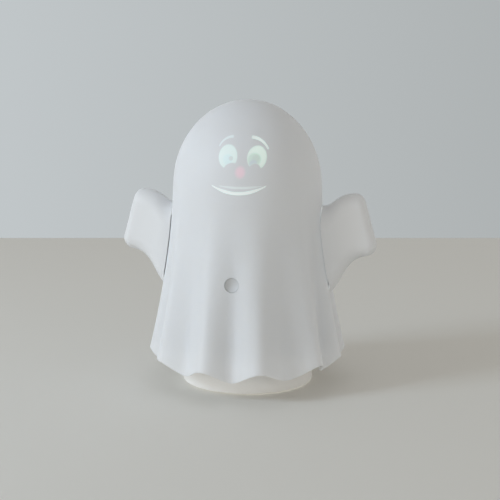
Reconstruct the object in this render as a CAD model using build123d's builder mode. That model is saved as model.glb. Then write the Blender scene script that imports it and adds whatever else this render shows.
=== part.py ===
"""Table-top ghost under a sheet: a moulded shell with a lit face and lifting arms.

Millimetres. +Z is up, the ghost looks along -Y and its arms reach along X. The origin
is on the table under the middle of the base. Azimuths run from the front (-Y) round
to +X, so azimuth 90 is the right arm as seen by someone facing the ghost.
"""
import math
import os

from build123d import *

# Sheet: a round head that flares into a folded skirt
HEIGHT = 250.0  # table to crown
HEAD_RADIUS = 65.4  # head at its widest
DOME_HEIGHT = 76.0  # crown above the widest level
HEM_LEVEL = 20.0  # height at which the hem radius is taken
HEM_RADIUS = 83.0  # skirt at that height, midway between crest and valley
FLARE_POWER = 1.55  # larger opens the skirt later
SHELL_WALL = 2.4

# Folds and hem
FOLD_CREST_ANGLES = [-80, -52, -15, 17, 57, 80, 104, 135, 165, 196, 227, 256]
FOLD_DEPTH = 6.8  # crest above the middle of the wave, at the hem
FOLD_POWER = 1.5  # larger lets the folds start lower
SKIRT_STEPS = 5  # cross-sections along the skirt
DOME_STEPS = 5  # cross-sections over the head
CROWN_FLAT = 3.0  # tiny flat that closes the crown
HEM_LOW = 16.0  # hem at the front and back valleys
HEM_SIDE_LIFT = 2.0  # hem rise towards the arms
HEM_ARCH = 10.0  # hem rise under each crest
HEM_MARGIN = 10.0  # sheet made below the hem and trimmed off
HEM_TRIM_WIDTH = 25.0  # reach of the trimming surface on either side of the sheet

# Base and deck
FOOT_HEIGHT = 1.2
FOOT_RADIUS = 5.0
FOOT_SEAT = 0.6
BASE_RADIUS = 58.0
BASE_WALL = 2.4
BASE_FLOOR = 2.6
BASE_FILLET = 1.5
DECK_BOTTOM = 34.0
DECK_THICK = 3.0
DECK_GAP = 0.6
POST_RADIUS = 3.5
PLUG_DEPTH = 8.0  # screw bosses under the deck
WIRE_HOLE_RADIUS = 4.5

# Screws
SCREW_RADIUS = 1.3
SCREW_LENGTH = 9.0
SCREW_HEAD_RADIUS = 3.0
SCREW_HEAD = 1.6
SCREW_GAP = 0.05
HEAD_GAP = 0.2

# Arms
ARM_DEPTH_Y = 4.5  # arms stand this far behind the middle
ARM_TOP_DROP = 14.0  # shoulder below the widest level of the head
ARM_ROOT_HEIGHT = 81.0  # shoulder to the tip of the hanging tail
ARM_ROOT_GAP = 0.8  # sheet to arm
ARM_ROOT_SINK = 6.0  # root drawn into the sheet before it is trimmed to fit round it
ARM_WALL = 2.0
ARM_END_FILLET = 8.0
ARM_LIFT = 12.0  # degrees
# Outwards from the root: reach and rise of the upper edge, then of the lower edge, and thickness
ARM_STATIONS = [
    (0.0, 0.0, 0.0, 0.0, 38.0),
    (8.2, 0.8, 7.9, 13.5, 36.0),
    (16.6, 6.6, 15.5, 26.2, 31.0),
    (26.6, 9.2, 25.0, 33.8, 26.0),
    (35.2, 7.6, 42.4, 35.5, 20.0),
]

# Shoulder levers
PIVOT_INSET = 16.0  # pivot inside the wall
PIVOT_RADIUS = 1.5
PIVOT_GAP = 0.1
PIVOT_HEAD_RADIUS = 3.0
HUB_RADIUS = 4.0
SPIGOT_DROP = 7.0  # spigot below the pivot
SPIGOT_WIDTH = 8.0
SPIGOT_HEIGHT = 5.0
SPIGOT_REACH = 14.0  # inside the arm
SOCKET_WALL = 3.0
SOCKET_GAP = 0.1
SLOT_GAP = 0.6
LEVER_LENGTH = 18.0
LEVER_HEIGHT = 6.0
LEVER_THICK = 4.0
LEVER_PIN_RADIUS = 1.5

# Arm drive, in layers from the frame plate forwards
FRAME_FRONT = 10.0
FRAME_THICK = 3.0
FRAME_MARGIN = 5.0
FRAME_RISE = 9.0
FRAME_SILL_GAP = 3.0  # plate above the lens barrel
LEG_INNER = 30.0
LEG_WIDTH = 8.0
LEG_FOOT = 14.0
LEG_FOOT_THICK = 3.0
LAYER_GAP = 0.7
CROSSHEAD_THICK = 3.0
CROSSHEAD_HEIGHT = 15.0
CROSSHEAD_MARGIN = 4.5
PIN_SLOT_GAP = 0.3
CRANK_SLOT_GAP = 0.6
GUIDE_X = 14.0
GUIDE_RADIUS = 2.0
GUIDE_GAP = 0.2
GUIDE_HEAD_RADIUS = 3.5
GUIDE_HEAD = 1.8
CRANK_DISC_RADIUS = 6.0
CRANK_PIN_RADIUS = 1.5
CRANK_SHAFT_RADIUS = 2.0
CRANK_SHAFT_GAP = 0.15
GEARBOX_WIDTH = 34.0
GEARBOX_HEIGHT = 30.0
GEARBOX_DEPTH = 18.0
SHAFT_IN_GEARBOX = 8.0
MOTOR_RADIUS = 10.0
MOTOR_LENGTH = 25.0
MOTOR_FLAT = 15.0

# Face projector, measured back from the front of its lens
FACE_RISE = 24.0  # middle of the face above the widest level
LENS_RISE = 75.0  # lens above the deck
BARREL_RADIUS = 13.0
BARREL_BORE = 11.0
BARREL_LENGTH = 28.0
BARREL_LIP = 1.5
BARREL_SEAT = 2.0
LENS_GAP = 0.15
LENS_EDGE = 2.0
LENS_BULGE = 2.2
LENS_SETBACK = 4.0
CASE_WIDTH = 40.0
CASE_HEIGHT = 36.0
CASE_LENGTH = 36.0
CASE_WALL = 2.0
CASE_CORNER = 3.0
INSERT_GAP = 0.2
PANEL_SETBACK = 4.0
PANEL_THICK = 1.6
CONDENSER_SETBACK = 14.0
CONDENSER_FLANGE = 2.0
CONDENSER_RADIUS = 14.0
CONDENSER_BULGE = 5.0
LED_SETBACK = 28.0
LED_BOARD = 1.6
LED_RADIUS = 4.0
LED_HEIGHT = 2.4
SINK_PLATE = 2.0
SINK_FIN = 1.2
SINK_FIN_HEIGHT = 8.0
SINK_FINS = 7
CRADLE_THICK = 2.5
CRADLE_FRONT = 15.0
CRADLE_BACK = 48.0
CRADLE_FLANGE = 8.0
CRADLE_FLANGE_THICK = 2.5
CRADLE_SCREW_Y = 6.0

# Front push button
BUTTON_Z = 98.7
BUTTON_RADIUS = 6.0
BUTTON_GAP = 0.25
BUTTON_RECESS = 0.3
BUTTON_DISH = 1.6
BUTTON_TRAVEL = 1.2
BUTTON_FLANGE = 1.6
BUTTON_FLANGE_THICK = 1.3
BUTTON_PLAY = 0.3
COLLAR_DEPTH = 3.8
COLLAR_WALL = 2.6
STEM_RADIUS = 2.4
STEM_LENGTH = 2.6
PLUNGER_RADIUS = 1.7
PLUNGER_LENGTH = 3.2
PLUNGER_GAP = 0.15
TACT_SIZE = 6.2
TACT_HEIGHT = 3.4
BUTTON_BOARD_WIDTH = 28.0
BUTTON_BOARD_HEIGHT = 12.0
BUTTON_BOARD_THICK = 1.2
BUTTON_POST_GAP = 0.6
BUTTON_POST_RADIUS = 2.5

# Main board
BOARD_WIDTH = 70.0
BOARD_DEPTH = 34.0
BOARD_THICK = 1.6
BOARD_Y = -42.0
BOARD_STANDOFF = 4.0
BOARD_MARGIN = 4.0
STANDOFF_RADIUS = 2.6
CHIP_SIZE = 12.0
CHIP_HEIGHT = 1.8
PLUG_WIDTH = 9.0
PLUG_SOCKET_DEPTH = 5.0
PLUG_SOCKET_HEIGHT = 6.0
PLUG_PITCH = 13.0
CAPACITOR_RADIUS = 3.5
CAPACITOR_HEIGHT = 9.0

# Batteries
CELL_RADIUS = 7.1
CELL_LENGTH = 49.2
CELL_NUB_RADIUS = 2.7
CELL_NUB = 1.3
CELL_PITCH = 14.8
CELL_COUNT = 3
CELL_FLOOR_GAP = 0.6
BAY_LENGTH = 58.0
BAY_SIDE_GAP = 0.8
BAY_WALL = 1.6
BAY_Y = -17.0
CONTACT_THICK = 0.5
CONTACT_SIZE = 11.0
CONTACT_DOME_RADIUS = 3.0
CONTACT_GAP = 0.1

# Battery door
DOOR_GAP = 0.3
DOOR_PIN_RADIUS = 0.7
DOOR_PIN_LENGTH = 1.6
DOOR_PIN_GAP = 0.15
DOOR_TAB_RADIUS = 4.5
DOOR_SCREW_SWING = 0.7
DOOR_SCREW_LENGTH = 6.0
DOOR_BOSS_HEIGHT = 9.0
DOOR_BOSS_GAP = 0.2

# Speaker
SPEAKER_Y = 29.0
SPEAKER_RADIUS = 19.5
SPEAKER_FLANGE = 1.2
SPEAKER_FLANGE_WIDTH = 3.5
SPEAKER_DEPTH = 8.0
SPEAKER_SKIN = 1.0
MAGNET_RADIUS = 11.0
MAGNET_HEIGHT = 6.0
CONE_SKIN = 0.6
SEAT_HEIGHT = 1.4
SEAT_GAP = 0.3
SEAT_WALL = 1.4
GRILLE_HOLE = 1.2
GRILLE_PITCH = 5.0

# Power switch
SWITCH_X = 42.0
SWITCH_Y = 8.0
SWITCH_WIDTH = 7.0
SWITCH_LENGTH = 15.0
SWITCH_HEIGHT = 6.0
SWITCH_TRAVEL = 4.0
KNOB_WIDTH = 3.0
KNOB_LENGTH = 4.0
KNOB_DEPTH = 2.5
KNOB_TIP = 0.8
KNOB_GAP = 0.3

# Places of repeated fixings
FEET = [(-44, -12), (44, -12), (-26, 38), (26, 38)]
BASE_SCREWS = [(-38, -30), (38, -30), (-38, 28), (38, 28)]
SHELL_SCREW_ANGLES = FOLD_CREST_ANGLES[1::3]
SHELL_BOSS_OUT = 2.6  # boss centre outside the round of the deck
SHELL_BOSS_RADIUS = 4.0
SHELL_BOSS_HEIGHT = 26.0
SHELL_RIB = 2.0

ON_TOP = (Align.CENTER, Align.CENTER, Align.MIN)
BELOW = (Align.CENTER, Align.CENTER, Align.MAX)
SIDES = (-1, 1)

# Levels that several pieces share
SHOULDER_Z = HEIGHT - DOME_HEIGHT
DECK_TOP = DECK_BOTTOM + DECK_THICK
FLOOR_TOP = FOOT_HEIGHT + BASE_FLOOR


def mean_radius(height):
    """Sheet radius midway between crest and valley."""
    drop = max(SHOULDER_Z - height, 0) / (SHOULDER_Z - HEM_LEVEL)
    return HEAD_RADIUS + (HEM_RADIUS - HEAD_RADIUS) * drop**FLARE_POWER


def fold_depth(height):
    """Half the wave of the folds."""
    drop = max(SHOULDER_Z - height, 0) / (SHOULDER_Z - HEM_LEVEL)
    return FOLD_DEPTH * drop**FOLD_POWER


def fold_waves():
    """Quarter points of every fold: azimuth in radians, and 1 on a crest to -1 in a valley."""
    for crest, following in zip(FOLD_CREST_ANGLES, FOLD_CREST_ANGLES[1:] + [FOLD_CREST_ANGLES[0] + 360]):
        for quarter in range(4):
            azimuth = math.radians(crest + (following - crest) * quarter / 4)
            yield azimuth, math.cos(quarter * math.pi / 2)


def around(azimuth, radius):
    """Plan position at an azimuth in radians."""
    return radius * math.sin(azimuth), -radius * math.cos(azimuth)


def ring(points):
    """Closed curve through one point for every fold quarter, timed by azimuth."""
    azimuths = [azimuth for azimuth, _ in fold_waves()]
    return Edge.make_spline(points, periodic=True, parameters=[*azimuths, azimuths[0] + 2 * math.pi])


def sheet_ring(radius, depth):
    """Outline of the sheet, folded by a depth."""
    return ring([Vector(*around(azimuth, radius + wave * depth)) for azimuth, wave in fold_waves()])


def hem_ring(radius):
    """Scalloped hem line carried out to a radius."""
    points = []
    for azimuth, wave in fold_waves():
        rise = HEM_SIDE_LIFT * math.sin(azimuth) ** 2 + HEM_ARCH * (1 + wave) / 2
        points.append(Vector(*around(azimuth, radius), HEM_LOW + rise))
    return ring(points)


def facing_front(x, y, z):
    """Upright plane whose local axes are +X and +Z and whose normal is the front."""
    return Plane(origin=(x, y, z), x_dir=(1, 0, 0), z_dir=(0, -1, 0))


def sheet_solid(inset):
    """The sheet filled from below the hem to the crown, moved inwards by an inset."""
    lowest = HEM_LOW - HEM_MARGIN
    levels = []
    for step in range(SKIRT_STEPS):
        height = lowest + (SHOULDER_Z - lowest) * step / SKIRT_STEPS
        levels.append((height, mean_radius(height) - inset, fold_depth(height)))
    head = HEAD_RADIUS - inset
    for step in range(DOME_STEPS + 1):
        angle = math.acos(CROWN_FLAT / head) * step / DOME_STEPS
        levels.append((SHOULDER_Z + (DOME_HEIGHT - inset) * math.sin(angle), head * math.cos(angle), 0))
    with BuildPart() as sheet:
        for height, radius, depth in levels:
            with BuildSketch(Plane.XY.offset(height)):
                with BuildLine():
                    add(sheet_ring(radius, depth))
                make_face()
        loft()
    return sheet.part


def screws(places, seat, upwards, length=SCREW_LENGTH):
    """Pan-head screws whose heads seat at a height."""
    head, shank = (BELOW, ON_TOP) if upwards else (ON_TOP, BELOW)
    with Locations(*[(x, y, seat) for x, y in places]):
        Cylinder(SCREW_HEAD_RADIUS, SCREW_HEAD, align=head)
        Cylinder(SCREW_RADIUS, length, align=shank)


def finish(part, label):
    """Labels a finished piece and writes it."""
    part.label = label
    export_step(part, f"parts/{label}.step")


os.makedirs("parts", exist_ok=True)

# Shoulder geometry, on the +X side
arm_top_z = SHOULDER_Z - ARM_TOP_DROP
arm_tail_z = arm_top_z - ARM_ROOT_HEIGHT
arm_top_x = mean_radius(arm_top_z) + ARM_ROOT_GAP
arm_tail_x = mean_radius(arm_tail_z) + ARM_ROOT_GAP
pivot_z = arm_top_z
pivot_x = mean_radius(pivot_z) - SHELL_WALL - PIVOT_INSET
spigot_z = pivot_z - SPIGOT_DROP
socket_x = mean_radius(spigot_z) + 2 * ARM_ROOT_GAP
arm_root_thick = ARM_STATIONS[0][-1]
lift = math.radians(ARM_LIFT)
stroke = LEVER_LENGTH * math.sin(lift)
crank_radius = stroke / 2
crank_z = pivot_z - crank_radius

# Layers of the arm drive, back to front
lever_back = FRAME_FRONT - LAYER_GAP
lever_front = lever_back - 2 * (lever_back - ARM_DEPTH_Y)
crosshead_back = lever_back - LEVER_THICK - LAYER_GAP
crosshead_front = crosshead_back - CROSSHEAD_THICK
pin_front = crosshead_front - LAYER_GAP

# Push button: the axis is square to the sheet in the front valley
button_r = mean_radius(BUTTON_Z) - fold_depth(BUTTON_Z)
button_slope = mean_radius(BUTTON_Z - 1) - fold_depth(BUTTON_Z - 1) - button_r
button_tilt = math.atan(button_slope)
button_axis = Plane(
    origin=(0, -button_r, BUTTON_Z),
    x_dir=(1, 0, 0),
    z_dir=(0, -math.cos(button_tilt), math.sin(button_tilt)),
)
flange_front = COLLAR_DEPTH + BUTTON_PLAY
stem_end = flange_front + BUTTON_FLANGE_THICK + STEM_LENGTH
board_face = stem_end + BUTTON_TRAVEL + TACT_HEIGHT
button_post_x = BUTTON_RADIUS + BUTTON_FLANGE + BUTTON_POST_GAP + BUTTON_POST_RADIUS
button_posts = [(side * button_post_x, 0) for side in SIDES]

# Projector: the lens looks at the middle of the face
face_z = SHOULDER_Z + FACE_RISE
face_y = -(HEAD_RADIUS - SHELL_WALL) * math.sqrt(1 - (FACE_RISE / (DOME_HEIGHT - SHELL_WALL)) ** 2)
projector = Plane(
    origin=(0, 0, DECK_TOP + LENS_RISE),
    x_dir=(1, 0, 0),
    z_dir=(0, face_y, face_z - DECK_TOP - LENS_RISE),
)
sill_z = projector.origin.Z - BARREL_RADIUS * projector.z_dir.Y + FRAME_SILL_GAP
case_front = BARREL_LENGTH - BARREL_SEAT
case_back = case_front + CASE_LENGTH
insert_width = CASE_WIDTH - 2 * (CASE_WALL + INSERT_GAP)
insert_height = CASE_HEIGHT - 2 * (CASE_WALL + INSERT_GAP)

# Battery bay
bay_depth = CELL_COUNT * CELL_PITCH + BAY_SIDE_GAP
cell_z = FLOOR_TOP + CELL_FLOOR_GAP + CELL_RADIUS
bay_top = cell_z + CELL_RADIUS + BAY_SIDE_GAP
cell_ys = [BAY_Y + (i - (CELL_COUNT - 1) / 2) * CELL_PITCH for i in range(CELL_COUNT)]
door_back = BAY_Y + bay_depth / 2 - DOOR_GAP
door_front = BAY_Y - bay_depth / 2 + DOOR_GAP
door_half = BAY_LENGTH / 2 - DOOR_GAP
door_axis_y = door_back - BASE_FLOOR / 2
door_axis_z = FOOT_HEIGHT + BASE_FLOOR / 2
door_screw_y = door_front - DOOR_TAB_RADIUS

# Fixing places
frame_feet = [(side * (LEG_INNER + LEG_WIDTH / 2), FRAME_FRONT - LEG_FOOT / 2) for side in SIDES]
cradle_x = CASE_WIDTH / 2 + INSERT_GAP
cradle_screw_x = cradle_x + CRADLE_THICK + CRADLE_FLANGE / 2
cradle_span = (CRADLE_FRONT + CRADLE_SCREW_Y, CRADLE_BACK - CRADLE_SCREW_Y)
cradle_feet = [(side * cradle_screw_x, y) for side in SIDES for y in cradle_span]
board_corner_x = BOARD_WIDTH / 2 - BOARD_MARGIN
board_corner_y = BOARD_DEPTH / 2 - BOARD_MARGIN
board_corners = [
    (sx * board_corner_x, BOARD_Y + sy * board_corner_y) for sx in SIDES for sy in SIDES
]
deck_radius = mean_radius(DECK_TOP) - fold_depth(DECK_TOP) - SHELL_WALL - DECK_GAP
shell_bosses = [around(math.radians(a), deck_radius + SHELL_BOSS_OUT) for a in SHELL_SCREW_ANGLES]
rib_reach = mean_radius(DECK_TOP) + fold_depth(DECK_TOP) - deck_radius

sheet_outside = sheet_solid(0)
sheet_inside = sheet_solid(SHELL_WALL)

# Hollow of the sheet, less the bosses and button posts that stand on its inner face
with BuildPart() as sheet_hollow:
    add(sheet_inside)
    for x, y in shell_bosses:
        with BuildSketch(Plane(origin=(x, y, DECK_TOP), x_dir=(x, y, 0))):
            Circle(SHELL_BOSS_RADIUS)
            Rectangle(rib_reach, SHELL_RIB, align=(Align.MIN, Align.CENTER))
        extrude(amount=SHELL_BOSS_HEIGHT, mode=Mode.SUBTRACT)
    with BuildSketch(button_axis.offset(-COLLAR_DEPTH)):
        Circle(BUTTON_RADIUS + BUTTON_GAP + COLLAR_WALL)
    extrude(amount=COLLAR_DEPTH, mode=Mode.SUBTRACT)
    with BuildSketch(button_axis.offset(-board_face)):
        with Locations(*button_posts):
            Circle(BUTTON_POST_RADIUS)
    extrude(amount=board_face, mode=Mode.SUBTRACT)

hem_surface = Face.make_surface_from_curves(
    hem_ring(HEM_RADIUS - HEM_TRIM_WIDTH), hem_ring(HEM_RADIUS + HEM_TRIM_WIDTH)
)

# Sheet: one thin moulding from crown to scalloped hem
with BuildPart() as body_shell:
    add(sheet_outside)
    add(sheet_hollow.part, mode=Mode.SUBTRACT)
    extrude(hem_surface, amount=HEIGHT, dir=(0, 0, -1), mode=Mode.SUBTRACT)
    with BuildSketch(button_axis.offset(-COLLAR_DEPTH)):
        Circle(BUTTON_RADIUS + BUTTON_GAP)
    extrude(amount=2 * COLLAR_DEPTH, mode=Mode.SUBTRACT)
    with BuildSketch(button_axis.offset(-board_face)):
        with Locations(*button_posts):
            Circle(SCREW_RADIUS + SCREW_GAP)
    extrude(amount=SCREW_LENGTH, mode=Mode.SUBTRACT)
    with Locations(*[(x, y, DECK_TOP) for x, y in shell_bosses]):
        Cylinder(
            SCREW_RADIUS + SCREW_GAP, SCREW_LENGTH + SCREW_GAP, align=ON_TOP, mode=Mode.SUBTRACT
        )
    slot_low = spigot_z - SPIGOT_HEIGHT / 2 - SLOT_GAP
    slot_rise = (mean_radius(spigot_z) - pivot_x) * math.sin(lift)
    with Locations(*[(side * mean_radius(spigot_z), ARM_DEPTH_Y, slot_low) for side in SIDES]):
        Box(
            4 * SHELL_WALL,
            SPIGOT_WIDTH + 2 * SLOT_GAP,
            SPIGOT_HEIGHT + slot_rise + 2 * SLOT_GAP,
            align=ON_TOP,
            mode=Mode.SUBTRACT,
        )


def arm_solid(inset, sink, end):
    """The arm lofted through its stations and thinned by an inset.

    Its root is sunk towards the body and its end drawn back.
    """
    last = len(ARM_STATIONS) - 1
    with BuildPart() as flap:
        for index, (top_out, top_up, tail_out, tail_up, thick) in enumerate(ARM_STATIONS):
            top = Vector(arm_top_x + top_out, ARM_DEPTH_Y, arm_top_z + top_up)
            tail = Vector(arm_tail_x + tail_out, ARM_DEPTH_Y, arm_tail_z + tail_up)
            up = (top - tail).normalized()
            outwards = Vector(up.Z, 0, -up.X)
            shift = -sink if index == 0 else -end if index == last else 0
            middle = (top + tail) * 0.5 + outwards * shift
            with BuildSketch(Plane(origin=middle, x_dir=up, z_dir=outwards)):
                SlotOverall((top - tail).length - 2 * inset, thick - 2 * inset)
        loft()
    return flap.part


arm_outside = arm_solid(0, ARM_ROOT_SINK, 0)
arm_inside = arm_solid(ARM_WALL, ARM_ROOT_SINK + ARM_ROOT_GAP, ARM_END_FILLET)

# Arm: a hollow draped sleeve, open towards the body and fitted round it, with a socket for its lever
with BuildPart() as arm_hollow:
    add(arm_inside)
    with Locations((socket_x, ARM_DEPTH_Y, spigot_z)):
        Box(
            SPIGOT_REACH + SOCKET_WALL,
            arm_root_thick,
            SPIGOT_HEIGHT + 2 * SOCKET_WALL,
            align=(Align.MIN, Align.CENTER, Align.CENTER),
            mode=Mode.SUBTRACT,
        )

with BuildPart() as right_arm:
    add(arm_outside)
    fillet(right_arm.faces().sort_by(Axis.X)[-1].edges(), ARM_END_FILLET)
    add(arm_hollow.part, mode=Mode.SUBTRACT)
    add(sheet_solid(-ARM_ROOT_GAP), mode=Mode.SUBTRACT)
    with Locations((socket_x, ARM_DEPTH_Y, spigot_z)):
        Box(
            2 * (SPIGOT_REACH + SOCKET_GAP),
            SPIGOT_WIDTH + 2 * SOCKET_GAP,
            SPIGOT_HEIGHT + 2 * SOCKET_GAP,
            mode=Mode.SUBTRACT,
        )

with BuildPart() as left_arm:
    mirror(right_arm.part, about=Plane.YZ)

# Lever: hub on the shoulder pivot, link down to the arm's spigot, tail with a pin to the crosshead
lever_pin_x = pivot_x - LEVER_LENGTH
with BuildPart() as right_lever:
    with BuildSketch(facing_front(pivot_x, lever_back, pivot_z)):
        Circle(HUB_RADIUS)
    extrude(amount=lever_back - lever_front)
    with Locations((pivot_x - HUB_RADIUS, ARM_DEPTH_Y, spigot_z)):
        Box(
            HUB_RADIUS + socket_x - pivot_x + SPIGOT_REACH,
            SPIGOT_WIDTH,
            SPIGOT_HEIGHT,
            align=(Align.MIN, Align.CENTER, Align.CENTER),
        )
    with Locations((pivot_x, ARM_DEPTH_Y, spigot_z)):
        Box(2 * HUB_RADIUS, SPIGOT_WIDTH, SPIGOT_DROP, align=ON_TOP)
    with BuildSketch(facing_front(pivot_x - LEVER_LENGTH / 2, lever_back, pivot_z)):
        SlotCenterToCenter(LEVER_LENGTH, LEVER_HEIGHT)
    extrude(amount=LEVER_THICK)
    with BuildSketch(facing_front(lever_pin_x, lever_back, pivot_z)):
        Circle(LEVER_PIN_RADIUS)
    extrude(amount=lever_back - pin_front)
    with BuildSketch(facing_front(pivot_x, lever_back, pivot_z)):
        Circle(PIVOT_RADIUS + PIVOT_GAP)
    extrude(amount=lever_back - lever_front, mode=Mode.SUBTRACT)

with BuildPart() as left_lever:
    mirror(right_lever.part, about=Plane.YZ)

# Shoulder pivots: headed pins fixed in the drive frame
with BuildPart() as shoulder_pins:
    for side in SIDES:
        with BuildSketch(facing_front(side * pivot_x, FRAME_FRONT + FRAME_THICK, pivot_z)):
            Circle(PIVOT_RADIUS)
        extrude(amount=FRAME_FRONT + FRAME_THICK - lever_front + LAYER_GAP)
        with BuildSketch(facing_front(side * pivot_x, lever_front - LAYER_GAP, pivot_z)):
            Circle(PIVOT_HEAD_RADIUS)
        extrude(amount=SCREW_HEAD)

# Crosshead: plate that both lever pins and the crank pin move up and down
guide_slot = 2 * (GUIDE_RADIUS + GUIDE_GAP) + stroke
lever_shift = LEVER_LENGTH * (1 - math.cos(lift))
with BuildPart() as crosshead:
    with BuildSketch(facing_front(0, crosshead_back, pivot_z)):
        Rectangle(2 * (lever_pin_x + CROSSHEAD_MARGIN), CROSSHEAD_HEIGHT)
        SlotOverall(
            2 * (crank_radius + CRANK_PIN_RADIUS + CRANK_SLOT_GAP),
            2 * (CRANK_PIN_RADIUS + CRANK_SLOT_GAP),
            mode=Mode.SUBTRACT,
        )
        with Locations(*[(side * GUIDE_X, stroke / 2) for side in SIDES]):
            SlotOverall(
                guide_slot, 2 * (GUIDE_RADIUS + GUIDE_GAP), rotation=90, mode=Mode.SUBTRACT
            )
        with Locations(*[(side * (lever_pin_x + lever_shift / 2), 0) for side in SIDES]):
            SlotOverall(
                lever_shift + 2 * (LEVER_PIN_RADIUS + PIN_SLOT_GAP),
                2 * (LEVER_PIN_RADIUS + PIN_SLOT_GAP) - GUIDE_GAP,
                mode=Mode.SUBTRACT,
            )
    extrude(amount=CROSSHEAD_THICK)

# Guide screws: shoulder screws that keep the crosshead upright
with BuildPart() as guide_screws:
    for side in SIDES:
        with BuildSketch(facing_front(side * GUIDE_X, FRAME_FRONT + FRAME_THICK, pivot_z)):
            Circle(GUIDE_RADIUS)
        extrude(amount=FRAME_FRONT + FRAME_THICK - pin_front)
        with BuildSketch(facing_front(side * GUIDE_X, pin_front, pivot_z)):
            Circle(GUIDE_HEAD_RADIUS)
        extrude(amount=GUIDE_HEAD)

# Crank: output shaft of the gearbox, disc and pin; the pin stands at the top at rest
with BuildPart() as crank:
    shaft_back = FRAME_FRONT + FRAME_THICK + SHAFT_IN_GEARBOX
    with BuildSketch(facing_front(0, shaft_back, crank_z)):
        Circle(CRANK_SHAFT_RADIUS)
    extrude(amount=shaft_back - lever_back)
    with BuildSketch(facing_front(0, lever_back, crank_z)):
        Circle(CRANK_DISC_RADIUS)
    extrude(amount=LEVER_THICK)
    with BuildSketch(facing_front(0, lever_back, pivot_z)):
        Circle(CRANK_PIN_RADIUS)
    extrude(amount=lever_back - pin_front)

# Drive frame: portal that straddles the projector and carries the pivots
with BuildPart() as drive_frame:
    with BuildSketch(facing_front(0, FRAME_FRONT + FRAME_THICK, 0)):
        with Locations((0, sill_z)):
            Rectangle(
                2 * (pivot_x + FRAME_MARGIN),
                pivot_z + FRAME_RISE - sill_z,
                align=(Align.CENTER, Align.MIN),
            )
        for side in SIDES:
            with Locations((side * (LEG_INNER + LEG_WIDTH / 2), DECK_TOP)):
                Rectangle(LEG_WIDTH, sill_z - DECK_TOP, align=(Align.CENTER, Align.MIN))
        with Locations(*[(side * pivot_x, pivot_z) for side in SIDES]):
            Circle(PIVOT_RADIUS + SCREW_GAP, mode=Mode.SUBTRACT)
        with Locations(*[(side * GUIDE_X, pivot_z) for side in SIDES]):
            Circle(GUIDE_RADIUS + SCREW_GAP, mode=Mode.SUBTRACT)
        with Locations((0, crank_z)):
            Circle(CRANK_SHAFT_RADIUS + LAYER_GAP, mode=Mode.SUBTRACT)
    extrude(amount=FRAME_THICK)
    for side in SIDES:
        with Locations((side * (LEG_INNER + LEG_WIDTH / 2), FRAME_FRONT, DECK_TOP)):
            Box(
                LEG_WIDTH, LEG_FOOT, LEG_FOOT_THICK, align=(Align.CENTER, Align.MAX, Align.MIN)
            )
    with Locations(*[(x, y, DECK_TOP) for x, y in frame_feet]):
        Cylinder(
            SCREW_RADIUS + SCREW_GAP, LEG_FOOT_THICK, align=ON_TOP, mode=Mode.SUBTRACT
        )

# Gear motor behind the frame
with BuildPart() as gearbox:
    with BuildSketch(facing_front(0, FRAME_FRONT + FRAME_THICK + GEARBOX_DEPTH, crank_z)):
        RectangleRounded(GEARBOX_WIDTH, GEARBOX_HEIGHT, CASE_CORNER)
    extrude(amount=GEARBOX_DEPTH)
    with BuildSketch(facing_front(0, FRAME_FRONT + FRAME_THICK, crank_z)):
        Circle(CRANK_SHAFT_RADIUS + CRANK_SHAFT_GAP)
        with Locations(*[(side * GUIDE_X, crank_radius) for side in SIDES]):
            Circle(GUIDE_RADIUS + SCREW_GAP)
    extrude(amount=-(SHAFT_IN_GEARBOX + SCREW_GAP), mode=Mode.SUBTRACT)

with BuildPart() as motor:
    motor_front = FRAME_FRONT + FRAME_THICK + GEARBOX_DEPTH
    with BuildSketch(facing_front(0, motor_front + MOTOR_LENGTH, crank_z)):
        Circle(MOTOR_RADIUS)
        Rectangle(2 * MOTOR_RADIUS, MOTOR_FLAT, mode=Mode.INTERSECT)
    extrude(amount=MOTOR_LENGTH)

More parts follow.
